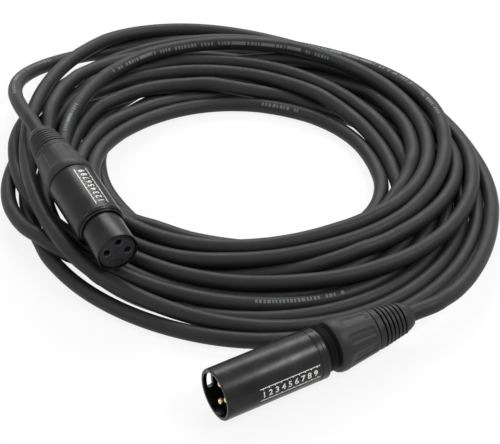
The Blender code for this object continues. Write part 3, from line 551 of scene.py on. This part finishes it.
def make_looks():
    """The looks of the record's slots, and of the thread, the numerals and the legends.

    Each has its name, colour, roughness, metal, gloss, grain with its depth and strength, the colour
    of its worn specks and how strong these are.
    """
    return {
        "shell_metal": worn_look(
            "shell_black", (0.03, 0.0308, 0.0303), 0.32, 1.0, 0.5, 3000, 0.03, 0.35, (0.3, 0.3, 0.29), 0.2),
        "insert_plastic": worn_look(
            "insert_black", (0.026, 0.026, 0.029), 0.45, 0.0, 0.4, 2200, 0.02, 0.3, (0.2, 0.2, 0.2), 0.2),
        "contact_gilt": worn_look(
            "gilt", (0.86, 0.64, 0.28), 0.2, 1.0, 0.5, 3500, 0.006, 0.25, (0.5, 0.36, 0.18), 0.3),
        "latch_steel": worn_look(
            "latch_steel", (0.5, 0.5, 0.51), 0.3, 1.0, 0.5, 3500, 0.01, 0.3, (0.25, 0.24, 0.23), 0.3),
        "spring_steel": worn_look(
            "spring_steel", (0.56, 0.56, 0.57), 0.26, 1.0, 0.5, 3500, 0.006, 0.25, (0.3, 0.29, 0.28), 0.3),
        "chuck_plastic": worn_look(
            "chuck_grey", (0.04, 0.04, 0.043), 0.5, 0.0, 0.4, 2200, 0.02, 0.3, (0.2, 0.2, 0.2), 0.2),
        "boot_plastic": worn_look(
            "boot_black", (0.02, 0.02, 0.0205), 0.48, 0.0, 0.3, 1600, 0.03, 0.3, (0.25, 0.25, 0.24), 0.3),
        "gland_rubber": worn_look(
            "gland_black", (0.016, 0.016, 0.0162), 0.5, 0.0, 0.3, 2200, 0.03, 0.4, (0.2, 0.2, 0.19), 0.25),
        "cable_jacket": worn_look(
            "jacket_black", (0.0185, 0.0187, 0.018), 0.5, 0.0, 0.27, 1300, 0.04, 0.35,
            (0.35, 0.34, 0.32), 0.35, 0.5),
        "bare_copper": worn_look(
            "bare_copper", (0.7, 0.36, 0.2), 0.3, 1.0, 0.5, 3000, 0.01, 0.3, (0.4, 0.22, 0.12), 0.3),
        "wire_red": worn_look(
            "wire_red", (0.45, 0.035, 0.028), 0.4, 0.0, 0.5, 3000, 0.01, 0.3, (0.5, 0.3, 0.28), 0.2),
        "wire_white": worn_look(
            "wire_white", (0.7, 0.7, 0.67), 0.4, 0.0, 0.5, 3000, 0.01, 0.3, (0.5, 0.48, 0.44), 0.2),
        # the thread is coloured near black with little gloss, darker than the boot: painted shade for the gap
        # between the barrel and the nut
        "thread": worn_look(
            "thread_painted_shade", (0.004, 0.004, 0.0042), 0.6, 0.0, 0.15, 2200, 0.02, 0.3,
            (0.05, 0.05, 0.05), 0.2),
        "print": worn_look(
            "print_white", (0.82, 0.83, 0.81), 0.5, 0.0, 0.4, 2500, 0.01, 0.3, (0.3, 0.3, 0.3), 0.5),
        "legend": worn_look(
            "legend_grey", (0.14, 0.152, 0.162), 0.5, 0.0, 0.3, 2500, 0.01, 0.3, (0.03, 0.03, 0.03), 0.9),
    }


def dress_carried_nodes():
    """The CAD nodes that stay as they are get the looks of their record's slots."""
    slots = {part["node"]: part["material_slot"] for part in frame["record"]["subparts"]}
    for name in CARRIED:
        node = frame["nodes"][name]
        node.data.materials.clear()
        node.data.materials.append(looks[slots[name]])


def make_cable(male, female, material):
    """The whole cord, from the female connector to the male one; its points, in metres."""
    points = resampled(settled_cable(male, female), TUBE_STEP)[::-1] * MM
    cable = add_piece("cable", tube_mesh("cable", points, CABLE_R * MM, TUBE_SIDES), material)
    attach(cable, "root")
    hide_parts("cable_coil", "female_tail", "male_tail")
    return points


def legend_faces(work, points, ahead, place, until, facing, tall):
    """One printed mark on the cable, between two shares of its points."""
    ribs = []
    for share in np.linspace(place, until, max(2, round((until - place) * 3) + 1)):
        low = min(int(share), len(points) - 2)
        point = points[low] + (points[low + 1] - points[low]) * (share - low)
        axis = ahead[low]
        front = facing - axis * facing.dot(axis)
        front /= np.linalg.norm(front)
        side = np.cross(axis, front)
        rib = []
        for turn in np.radians(np.linspace(-tall, tall, LEGEND_RIB)):
            out = front * math.cos(turn) + side * math.sin(turn)
            rib.append(work.verts.new(point + (CABLE_R + PRINT_LIFT) * MM * out))
        ribs.append(rib)
    for one, two in zip(ribs, ribs[1:]):
        for k in range(LEGEND_RIB - 1):
            work.faces.new((one[k], two[k], two[k + 1], one[k + 1]))


def print_legends(points):
    """Rows of short pale marks along the jacket, like worn print, with no letters in them."""
    centre = np.array(COIL_CENTRE) * MM
    angles = np.unwrap(np.arctan2(points[::-1, 1] - centre[1], points[::-1, 0] - centre[0]))[::-1]
    start = math.radians(LOOPS[0][0][0] - VIEW_TURN_DEG)
    angles += math.tau * round((start - angles[-COUNTED_FROM]) / math.tau)
    ahead = np.gradient(points, axis=0)
    ahead /= np.linalg.norm(ahead, axis=1, keepdims=True)
    turn = math.radians(-90 - VIEW_TURN_DEG)
    to_camera = np.array([math.cos(turn), math.sin(turn), 0])
    chance = np.random.default_rng(LEGEND_SEED)
    work = bmesh.new()
    for row, from_deg, to_deg, tilt in LEGENDS:
        turns = [math.radians(degrees - VIEW_TURN_DEG) + math.tau * row for degrees in (to_deg, from_deg)]
        place, until = (np.interp(-angle, -angles, np.arange(len(points))) for angle in turns)
        facing = to_camera * math.sin(math.radians(tilt)) + np.array([0, 0, math.cos(math.radians(tilt))])
        while place < until:
            wide = chance.choice(MARK_LENGTHS[0], p=MARK_LENGTHS[1])
            legend_faces(work, points, ahead, place, min(place + wide, until), facing, LEGEND_TALL_DEG)
            place += wide + chance.choice(MARK_SPACES[0], p=MARK_SPACES[1])
    mesh = finished_mesh("legends", work)
    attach(add_piece("legends", mesh, looks["legend"]), "root")


# The connectors


def eased_corners(profile):
    """The profile's loop of (x, radius, rounding), each rounded corner as a short curve."""
    loop = []
    for before, corner, after in zip(profile[-1:] + profile[:-1], profile, profile[1:] + profile[:1]):
        here = np.array(corner[:2], float)
        rounding = corner[2] if len(corner) > 2 else 0
        if not rounding:
            loop.append(here)
            continue
        back = np.array(before[:2], float) - here
        on = np.array(after[:2], float) - here
        first = here + back * min(rounding / np.linalg.norm(back), 0.49)
        last = here + on * min(rounding / np.linalg.norm(on), 0.49)
        for share in (0, 0.25, 0.5, 0.75, 1):
            loop.append((1 - share) ** 2 * first + 2 * share * (1 - share) * here + share ** 2 * last)
    return loop


def lathe_mesh(name, profile, segments, shaped=None):
    """The profile turned about the X axis; shaped(x, degrees from the key, radius) may change a radius."""
    work = bmesh.new()
    rings = []
    for x, r in eased_corners(profile):
        if r < 1e-6:
            rings.append([work.verts.new((x * MM, 0, 0))])
            continue
        ring = []
        for place in range(segments):
            turn = math.tau * place / segments
            radius = shaped(x, math.degrees(turn), r) if shaped else r
            out = radius * MM
            ring.append(work.verts.new((x * MM, -out * math.sin(turn), -out * math.cos(turn))))
        rings.append(ring)
    for one, two in zip(rings, rings[1:] + rings[:1]):
        for place in range(segments):
            corners = [one[place % len(one)], one[(place + 1) % len(one)],
                       two[(place + 1) % len(two)], two[place % len(two)]]
            corners = list(dict.fromkeys(corners))
            if len(corners) > 2:
                work.faces.new(corners)
    bmesh.ops.recalc_face_normals(work, faces=work.faces)
    return finished_mesh(name, work)


def finished_mesh(name, work):
    mesh = bpy.data.meshes.new(name)
    work.to_mesh(mesh)
    work.free()
    mesh.shade_smooth()
    mesh.set_sharp_from_angle(angle=math.radians(SHARP_DEG))
    return mesh


def prism_mesh(name, outline, axis, low, high, bevel=0.0):
    """An outline of two coordinates, run along the third one (axis) from low to high."""
    work = bmesh.new()
    corners = []
    for a, b in outline:
        place = [a * MM, b * MM]
        place.insert(axis, low * MM)
        corners.append(work.verts.new(place))
    side = work.faces.new(corners)
    pushed = bmesh.ops.extrude_face_region(work, geom=[side])
    moved = [item for item in pushed["geom"] if isinstance(item, bmesh.types.BMVert)]
    push = [0.0, 0.0, 0.0]
    push[axis] = (high - low) * MM
    bmesh.ops.translate(work, vec=push, verts=moved)
    if bevel:
        bmesh.ops.bevel(work, geom=work.edges[:], offset=bevel * MM, segments=2, profile=0.5, affect="EDGES")
    bmesh.ops.recalc_face_normals(work, faces=work.faces)
    return finished_mesh(name, work)


def without(mesh, *cutters):
    """The mesh with the cutters' shapes taken out."""
    piece = bpy.data.objects.new("work", mesh)
    bpy.context.scene.collection.objects.link(piece)
    made = []
    for number, cutter in enumerate(cutters):
        tool = bpy.data.objects.new(f"cutter_{number}", cutter)
        bpy.context.scene.collection.objects.link(tool)
        made.append(tool)
        modifier = piece.modifiers.new(tool.name, "BOOLEAN")
        modifier.object = tool
        modifier.solver = "EXACT"
    bpy.context.view_layer.update()
    cut = bpy.data.meshes.new_from_object(piece.evaluated_get(bpy.context.evaluated_depsgraph_get()))
    for tool in [*made, piece]:
        bpy.data.objects.remove(tool, do_unlink=True)
    cut.name = mesh.name
    cut.shade_smooth()
    cut.set_sharp_from_angle(angle=math.radians(SHARP_DEG))
    return cut


def moved_mesh(mesh, y, z):
    mesh.transform(Matrix.Translation((0, y * MM, z * MM)))
    return mesh


def joined_mesh(name, meshes):
    work = bmesh.new()
    for mesh in meshes:
        work.from_mesh(mesh)
    return finished_mesh(name, work)


def contact_places():
    for number, degrees in enumerate(CONTACT_DEG, 1):
        turn = math.radians(degrees)
        yield number, -CONTACT_CIRCLE * math.sin(turn), -CONTACT_CIRCLE * math.cos(turn)


def put(name, mesh, look, place, body, *nodes):
    """A piece of a connector in its place, riding on its body in place of the CAD nodes."""
    piece = add_piece(name, mesh, looks[look])
    piece.matrix_world = place
    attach(piece, body)
    if nodes:
        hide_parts(*nodes)
    return piece


def male_front(place):
    """The barrel with its latch window, the pin carrier and the three pins."""
    rear = MALE_LENGTH
    profile = [
        (0.0, 8.2, 0.2), (0.0, 9.5, 0.45), (rear - 3.8, 9.5, 0.1), (rear - 3.8, 9.3, 0.05),
        (rear - 3.3, 9.3, 0.05), (rear - 3.3, 9.5, 0.1), (rear - 1.5, 9.5, 0.06), (rear - 1.5, 9.42, 0.04),
        (rear - 1.3, 9.42, 0.04), (rear - 1.3, 9.5, 0.06), (rear, 9.5, 0.3), (rear, 8.6, 0.15),
        (16.2, 8.6), (16.2, 7.7), (15.2, 7.7, 0.15), (15.2, 8.2),
    ]
    window = prism_mesh("window", rounded_box(1.5, 3.8, 3.5, 0.5), 2, -12, -5)
    shell = without(lathe_mesh("male_barrel", profile, FINE), window)
    put("male_barrel", shell, "shell_metal", place, "root", "male_shell")
    profile = [
        (15.5, 0.0), (15.5, 6.9, 0.1), (15.8, 7.0, 0.1), (15.8, 7.4, 0.1), (16.5, 7.4), (16.5, 8.3),
        (25.1, 8.3, 0.3), (25.1, 0.0),
    ]
    boss = [(15.2, 1.3, 0.1), (15.2, 2.1, 0.15), (16.0, 2.1), (16.0, 1.3)]
    bosses = [moved_mesh(lathe_mesh("boss", boss, SMALL), y, z) for _, y, z in contact_places()]
    carrier = joined_mesh("male_carrier", [lathe_mesh("carrier", profile, FINE), *bosses])
    put("male_carrier", carrier, "insert_plastic", place, "root", "male_insert")
    profile = [
        (1.5, 0.0), (1.5, 0.5, 0.15), (1.75, 0.95, 0.15), (2.6, 1.2, 0.3), (21.3, 1.2), (21.3, 1.35),
        (29.1, 1.35, 0.1), (29.1, 0.95, 0.1), (26.5, 0.95), (26.5, 0.0),
    ]
    for number, y, z in contact_places():
        pin = moved_mesh(lathe_mesh(f"pin_{number}", profile, SMALL), y, z)
        put(f"male_prong_{number}", pin, "contact_gilt", place, "root", f"male_pin_{number}")


def rounded_box(x_low, x_high, half, rounding):
    """A rounded rectangle as an outline, x first."""
    outline = []
    low, high, side = x_low + rounding, x_high - rounding, half - rounding
    for cx, cy, start in ((high, side, 0), (low, side, 90), (low, -side, 180), (high, -side, 270)):
        for step in range(5):
            turn = math.radians(start + 22.5 * step)
            outline.append((cx + rounding * math.cos(turn), cy + rounding * math.sin(turn)))
    return outline


def female_front(place):
    """The barrel with its latch slot, the contact carrier, the three contacts and the latch lever."""
    rear = FEMALE_LENGTH
    profile = [
        (0.0, 7.4, 0.15), (0.0, 8.0, 0.35), (14.0, 8.0, 0.1), (14.0, 7.85, 0.05), (14.4, 7.85, 0.05),
        (14.4, 8.7, 0.25), (15.0, 8.85, 0.1), (15.0, 8.7, 0.05), (15.3, 8.7, 0.05), (15.3, 9.1, 0.15),
        (16.0, 9.6, 0.35), (rear - 0.9, 9.6, 0.06), (rear - 0.9, 9.52, 0.04), (rear - 0.7, 9.52, 0.04),
        (rear - 0.7, 9.6, 0.06), (rear, 9.6, 0.3), (rear, 8.6, 0.1), (15.7, 8.6), (15.7, 7.4),
    ]
    slot = prism_mesh("slot", rounded_box(10.1, 23.9, 2.5, 0.4), 2, -13, -3.7)
    shell = without(lathe_mesh("female_barrel", profile, FINE), slot)
    put("female_barrel", shell, "shell_metal", place, "root", "female_shell")
    female_carrier(place)
    profile = [
        (3.6, 1.2, 0.2), (3.6, 1.6, 0.15), (27.4, 1.6), (27.4, 1.35), (31.4, 1.35, 0.1), (31.4, 0.95, 0.1),
        (28.8, 0.95), (28.8, 0.0), (15.0, 0.0), (15.0, 1.2),
    ]
    for number, y, z in contact_places():
        contact = moved_mesh(lathe_mesh(f"contact_{number}", profile, SMALL), y, z)
        put(f"female_socket_{number}", contact, "contact_gilt", place, "root", f"female_contact_{number}")
    outline = [
        (10.4, -6.4), (10.4, -8.0), (11.0, -8.8), (12.3, -8.8), (12.3, -8.0), (16.2, -8.0), (16.6, -10.4),
    ]
    for ridge in range(5):
        x = 17.9 + 1.05 * ridge
        outline += [(x, -10.4), (x + 0.15, -10.15), (x + 0.4, -10.15), (x + 0.55, -10.4)]
    outline += [(23.6, -10.4), (23.6, -6.4)]
    lever = prism_mesh("lever", outline, 1, -2.2, 2.2, 0.07)
    lever = without(lever, spring_bore(6.0, 8.5, 2.0))
    put("female_push", lever, "latch_steel", place, "female_latch", "female_latch")


def spring_bore(low, high, radius):
    """The round hollow for the latch spring, along the key's direction."""
    mesh = lathe_mesh("spring_bore", [(low, 0.0), (low, radius), (high, radius), (high, 0.0)], SMALL)
    mesh.transform(Matrix.Translation((20.0 * MM, 0, 0)) @ Matrix.Rotation(math.radians(90), 4, "Y"))
    return mesh


def female_carrier(place):
    """The face with its holes, its ring line and the outline of the key tab, and the latch's pocket."""
    profile = [
        (0.3, 0.0), (0.3, 7.1, 0.2), (16.0, 7.1), (16.0, 8.3), (27.4, 8.3, 0.3), (27.4, 0.0),
    ]
    hole = [
        (-0.7, 0.0), (-0.7, 1.75), (0.3, 1.75), (0.62, 1.3), (1.7, 1.3), (1.7, 1.9), (30.0, 1.9),
        (30.0, 0.0),
    ]
    holes = [moved_mesh(lathe_mesh("hole", hole, SMALL), y, z) for _, y, z in contact_places()]
    ring = lathe_mesh("ring_line", [(-0.2, 6.45), (-0.2, 6.7), (0.6, 6.7), (0.6, 6.45)], FINE)
    tab = prism_mesh("tab_line", [
        (-2.45, -7.6), (-2.45, -3.8), (2.45, -3.8), (2.45, -7.6), (2.15, -7.6), (2.15, -4.1), (-2.15, -4.1),
        (-2.15, -7.6),
    ], 0, -0.2, 0.8)
    pocket = prism_mesh("pocket", [(9.8, -11.6), (24.2, -11.6), (24.2, -5.0), (9.8, -5.0)], 1, -2.8, 2.8)
    carrier = without(
        lathe_mesh("female_carrier", profile, FINE), *holes, ring, tab, pocket, spring_bore(2.0, 6.0, 1.7),
    )
    put("female_carrier", carrier, "insert_plastic", place, "root", "female_insert")


def panelled(boot_at):
    """Eight finger panels, let into the boot."""
    def shaped(x, degrees, radius):
        along = min(x - boot_at - 4.6, boot_at + 16.6 - x) / 1.4
        across = (13.0 - abs((degrees + 22.5) % 45 - 22.5)) / 5.0
        if radius < 7.0:
            return radius
        depth = min(max(along, 0), 1) * min(max(across, 0), 1)
        return radius - 0.5 * depth
    return shaped


def boot_and_gland(prefix, place, boot_at):
    """The thread behind the barrel, the nut with its panels and the ribbed sleeve, on the boot's body."""
    profile = [(-9.0, 6.5)]
    for thread in range(6):
        x = -9.0 + 1.5 * thread
        profile += [(x, 7.5), (x + 0.75, 8.1, 0.15)]
    profile += [(0.0, 7.5), (1.0, 7.5), (1.0, 6.5)]
    profile = [(boot_at + x, *rest) for x, *rest in profile]
    mesh = lathe_mesh(f"{prefix}_thread", profile, FINE)
    # the thread's near-black look is painted shade for the gap between the barrel and the nut
    put(f"{prefix}_thread", mesh, "thread", place, f"{prefix}_boot")
    profile = [(BOOT_GAP, 7.5), (BOOT_GAP, 9.3, 0.4), (2.0, 9.68), (3.5, 9.8)]
    rings = (4.55, 5, 5.5, 6, 7, 9, 11, 13, 14.5, 15.2, 15.7, 16.2, 16.7)
    profile += [(x, 9.8 - 1.8 * (x - 3.5) / 14) for x in rings]
    profile += [
        (17.5, 8.0, 0.35), (17.5, 6.3), (13.6, 6.3), (13.6, 5.0), (9.3, 5.0), (6.3, 6.5), (1.0, 6.5),
        (1.0, 7.5),
    ]
    profile = [(boot_at + x, *rest) for x, *rest in profile]
    mesh = lathe_mesh(f"{prefix}_nut", profile, 240, panelled(boot_at))
    put(f"{prefix}_nut", mesh, "boot_plastic", place, f"{prefix}_boot", f"{prefix}_boot")
    profile = [(13.9, 3.3), (13.9, 6.0, 0.2), (17.8, 6.0), (17.8, 7.7, 0.25), (20.2, 7.7, 0.2)]
    for rib in range(6):
        x = 20.2 + 1.8 * rib
        crest = 7.5 - 0.3 * rib
        profile += [(x, crest - 1.5), (x + 0.7, crest - 1.5), (x + 0.7, crest, 0.22), (x + 1.8, crest, 0.22)]
    profile += [(31.0, 5.6), (32.6, 5.3, 0.4), (34.7, 4.3, 0.5), (34.7, 3.3, 0.2)]
    profile = [(boot_at + x, *rest) for x, *rest in profile]
    mesh = lathe_mesh(f"{prefix}_sleeve", profile, FINE)
    put(f"{prefix}_sleeve", mesh, "gland_rubber", place, f"{prefix}_boot", f"{prefix}_gland")


def wrapped(mesh, radius, middle_deg):
    """Lays flat work on a barrel: x stays, and y becomes the way round from the middle angle."""
    for vertex in mesh.vertices:
        x, y, z = vertex.co
        reach = radius * MM + z
        turn = math.radians(middle_deg) + y / (radius * MM)
        vertex.co = (x, -reach * math.sin(turn), -reach * math.cos(turn))
    mesh.update()
    return mesh


def numeral_band(name, place, x_low, x_high, middle_deg, radius):
    """Plain numerals between two thin lines with ticks, open at both ends, printed on a barrel."""
    text = bpy.data.curves.new(name, "FONT")
    text.body = NUMERALS
    text.align_x = "CENTER"
    text.align_y = "CENTER"
    text.extrude = 0.02
    text.offset = 0.018
    text.resolution_u = 5
    made = bpy.data.objects.new(name, text)
    bpy.context.scene.collection.objects.link(made)
    bpy.context.view_layer.update()
    mesh = bpy.data.meshes.new_from_object(made.evaluated_get(bpy.context.evaluated_depsgraph_get()))
    bpy.data.objects.remove(made, do_unlink=True)
    places = np.array([tuple(vertex.co) for vertex in mesh.vertices])
    low, high = places.min(0), places.max(0)
    middle = (low + high) / 2
    stretch = (x_high - x_low - 2 * NUMERAL_MARGIN) * MM / (high[0] - low[0])
    tall = NUMERAL_HEIGHT * MM / (high[1] - low[1])
    mesh.transform(
        Matrix.Translation(((x_low + x_high) / 2 * MM, 0, 0)) @ Matrix.Diagonal((stretch, tall, MM, 1))
        @ Matrix.Translation((-middle[0], -middle[1], 0))
    )
    work = bmesh.new()
    work.from_mesh(mesh)
    for step in range(-3, 4):
        bmesh.ops.bisect_plane(
            work, geom=work.verts[:] + work.edges[:] + work.faces[:], plane_co=(0, BAND_STRIP * step * MM, 0),
            plane_no=(0, 1, 0), dist=1e-9,
        )
    for y in (-BAND_HALF, BAND_HALF):
        for place_x in np.arange(x_low, x_high - 0.01, 1.0):
            lay_bar(work, place_x, min(place_x + 1.0, x_high), y - BAND_LINE / 2, y + BAND_LINE / 2)
        for place_x in np.linspace(x_low + NUMERAL_MARGIN, x_high - NUMERAL_MARGIN, 10):
            inward = y - math.copysign(TICK, y)
            lay_bar(work, place_x - BAND_LINE / 2, place_x + BAND_LINE / 2, min(y, inward), max(y, inward))
    mesh = wrapped(finished_mesh(name, work), radius + PRINT_LIFT, middle_deg)
    put(name, mesh, "print", place, "root")


def lay_bar(work, x_low, x_high, y_low, y_high, thick=0.02):
    corners = []
    for z in (-thick, thick):
        for x, y in ((x_low, y_low), (x_high, y_low), (x_high, y_high), (x_low, y_high)):
            corners.append(work.verts.new((x * MM, y * MM, z * MM)))
    for sides in ((3, 2, 1, 0), (4, 5, 6, 7), (0, 1, 5, 4), (1, 2, 6, 5), (2, 3, 7, 6), (3, 0, 4, 7)):
        work.faces.new([corners[side] for side in sides])


def seen_rays(tree):
    """1 for rays from the camera, mirrors and glass, and 0 for the light that objects share."""
    path = tree.nodes.new("ShaderNodeLightPath")
    total = path.outputs["Is Camera Ray"]
    for other in ("Is Glossy Ray", "Is Transmission Ray"):
        either = tree.nodes.new("ShaderNodeMath")
        either.operation = "MAXIMUM"
        tree.links.new(total, either.inputs[0])
        tree.links.new(path.outputs[other], either.inputs[1])
        total = either.outputs[0]
    return total


def make_world():
    world = bpy.data.worlds.new("studio")
    bpy.context.scene.world = world
    world.use_nodes = True
    tree = world.node_tree
    plain = tree.nodes["Background"]
    plain.inputs["Color"].default_value = (1, 1, 1, 1)
    plain.inputs["Strength"].default_value = WORLD_LIGHT
    white = tree.nodes.new("ShaderNodeBackground")
    white.inputs["Strength"].default_value = 1.0
    mix = tree.nodes.new("ShaderNodeMixShader")
    tree.links.new(seen_rays(tree), mix.inputs["Fac"])
    tree.links.new(plain.outputs["Background"], mix.inputs[1])
    tree.links.new(white.outputs["Background"], mix.inputs[2])
    tree.links.new(mix.outputs["Shader"], tree.nodes["World Output"].inputs["Surface"])


def make_floor():
    """A white floor that keeps the object's shadow, softened where it is seen."""
    material, shader = base_material("floor_white", 0.9)
    shader.inputs["Base Color"].default_value = (0.97, 0.97, 0.97, 1)
    tree = material.node_tree
    glow = tree.nodes.new("ShaderNodeEmission")
    glow.inputs["Color"].default_value = (1, 1, 1, 1)
    glow.inputs["Strength"].default_value = 1.0
    share = tree.nodes.new("ShaderNodeMath")
    share.operation = "MULTIPLY"
    share.inputs[1].default_value = FLOOR_GLOW
    tree.links.new(seen_rays(tree), share.inputs[0])
    mix = tree.nodes.new("ShaderNodeMixShader")
    tree.links.new(share.outputs[0], mix.inputs["Fac"])
    tree.links.new(shader.outputs["BSDF"], mix.inputs[1])
    tree.links.new(glow.outputs["Emission"], mix.inputs[2])
    tree.links.new(mix.outputs["Shader"], tree.nodes["Material Output"].inputs["Surface"])
    work = bmesh.new()
    bmesh.ops.create_grid(work, x_segments=1, y_segments=1, size=3.0)
    mesh = bpy.data.meshes.new("floor")
    work.to_mesh(mesh)
    work.free()
    add_piece("floor", mesh, material)


def add_lamp(name, view_deg, height_deg, distance, size, power):
    """A soft lamp towards the coil; its direction is anticlockwise from the camera's right."""
    data = bpy.data.lights.new(name, "AREA")
    data.shape = "RECTANGLE"
    data.size, data.size_y = size
    data.energy = power
    lamp = bpy.data.objects.new(name, data)
    bpy.context.scene.collection.objects.link(lamp)
    turn = math.radians(view_deg - VIEW_TURN_DEG)
    rise = math.radians(height_deg)
    level = math.cos(rise)
    place = Vector((math.cos(turn) * level, math.sin(turn) * level, math.sin(rise))) * distance
    lamp.location = place
    lamp.rotation_euler = (-place).to_track_quat("-Z", "Y").to_euler()


def make_lamps():
    for lamp in LAMPS:
        add_lamp(*lamp)


bpy.context.scene.view_settings.view_transform = "Standard"
make_camera()
male_place = connector_frame("male", MALE_KEY, MALE_BOOT_AT)
female_place = connector_frame("female", FEMALE_KEY, FEMALE_BOOT_AT)
looks = make_looks()
dress_carried_nodes()
cable_points = make_cable(male_place, female_place, looks["cable_jacket"])
print_legends(cable_points)
male_front(male_place)
female_front(female_place)
boot_and_gland("male", male_place, MALE_BOOT_AT)
boot_and_gland("female", female_place, FEMALE_BOOT_AT)
numeral_band("male_numerals", male_place, 12.6, 36.7, 186.5, 9.5)
numeral_band("female_numerals", female_place, 18.2, 40.6, 177.5, 9.6)
make_world()
make_floor()
make_lamps()
